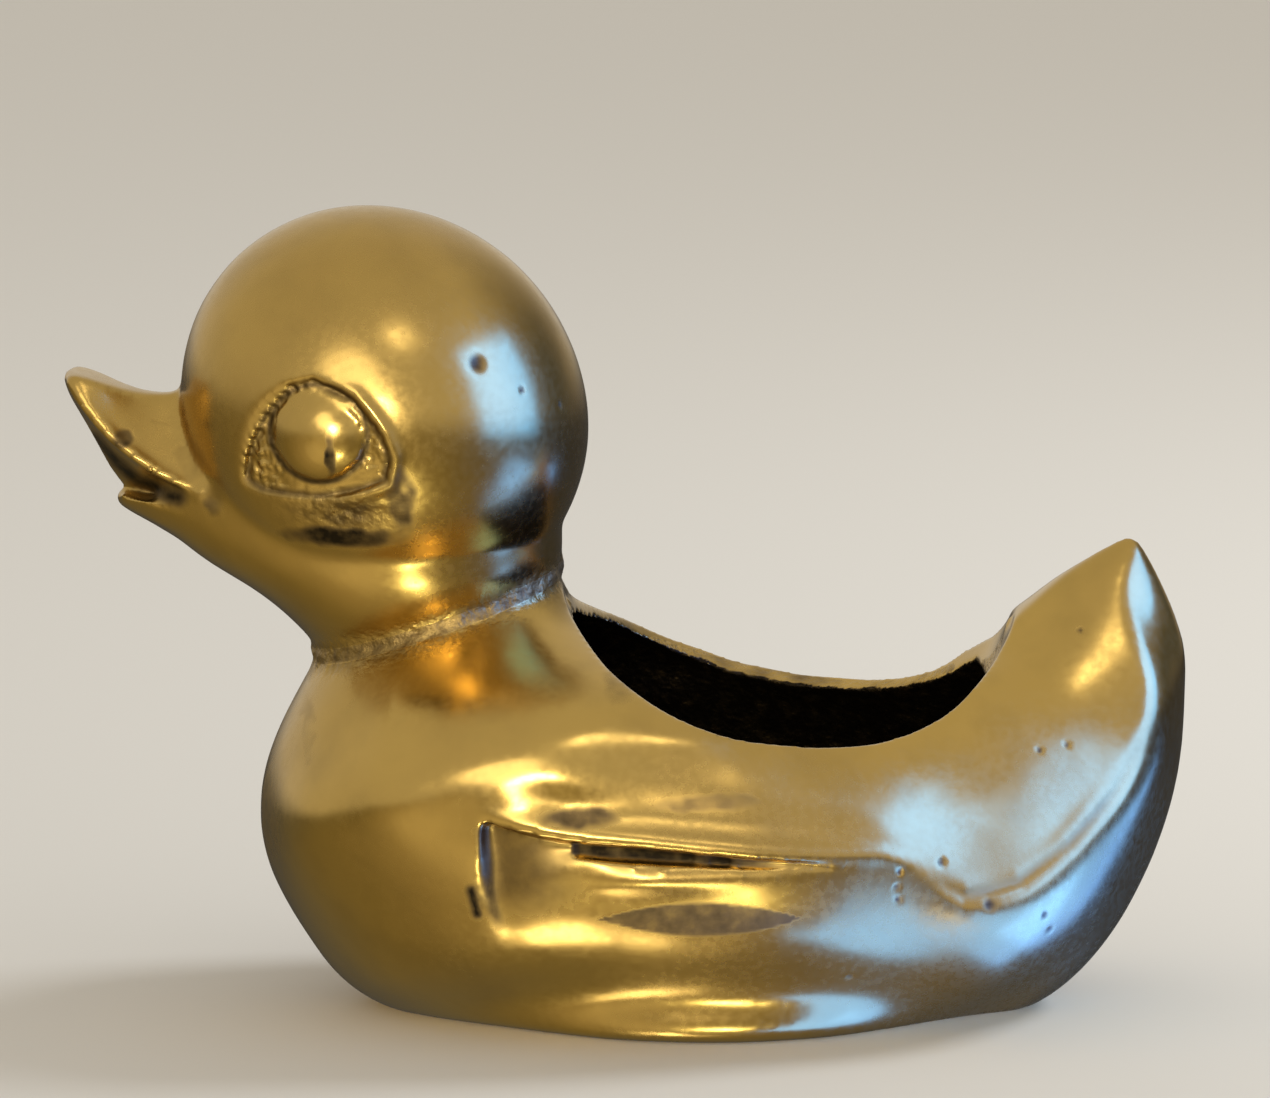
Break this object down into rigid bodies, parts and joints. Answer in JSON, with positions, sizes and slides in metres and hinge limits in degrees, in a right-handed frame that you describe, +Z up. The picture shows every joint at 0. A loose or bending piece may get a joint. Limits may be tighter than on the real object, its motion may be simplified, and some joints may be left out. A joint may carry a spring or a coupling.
{
  "type": "duck figurine planter",
  "caption": "Hollow cast brass duckling with an open back between head and upswept tail, standing on a flat foot, used as a small dish or planter.",
  "frame": {"origin": "middle of the length and width at the height of the flat foot", "axes": "+Z up, the duckling faces -X and its tail points to +X, Y across the width; the mid plane is Y = 0"},
  "size_m": [0.1704, 0.0904, 0.1227],
  "materials": {
    "cast_brass": "sand cast, hand polished, aged to a soft golden brown with darker tarnish in the creases",
    "seam_brass": "brazing filed and polished flush with the castings",
    "neck_brass": "brazing left rough and slightly tarnished"
  },
  "bodies": {
    "root": {"body_left_half": "cast_brass", "body_right_half": "cast_brass", "body_seam_braze": "seam_brass", "head_left_half": "cast_brass", "head_right_half": "cast_brass", "head_seam_braze": "seam_brass", "neck_braze": "neck_brass"}
  },
  "joints": []
}
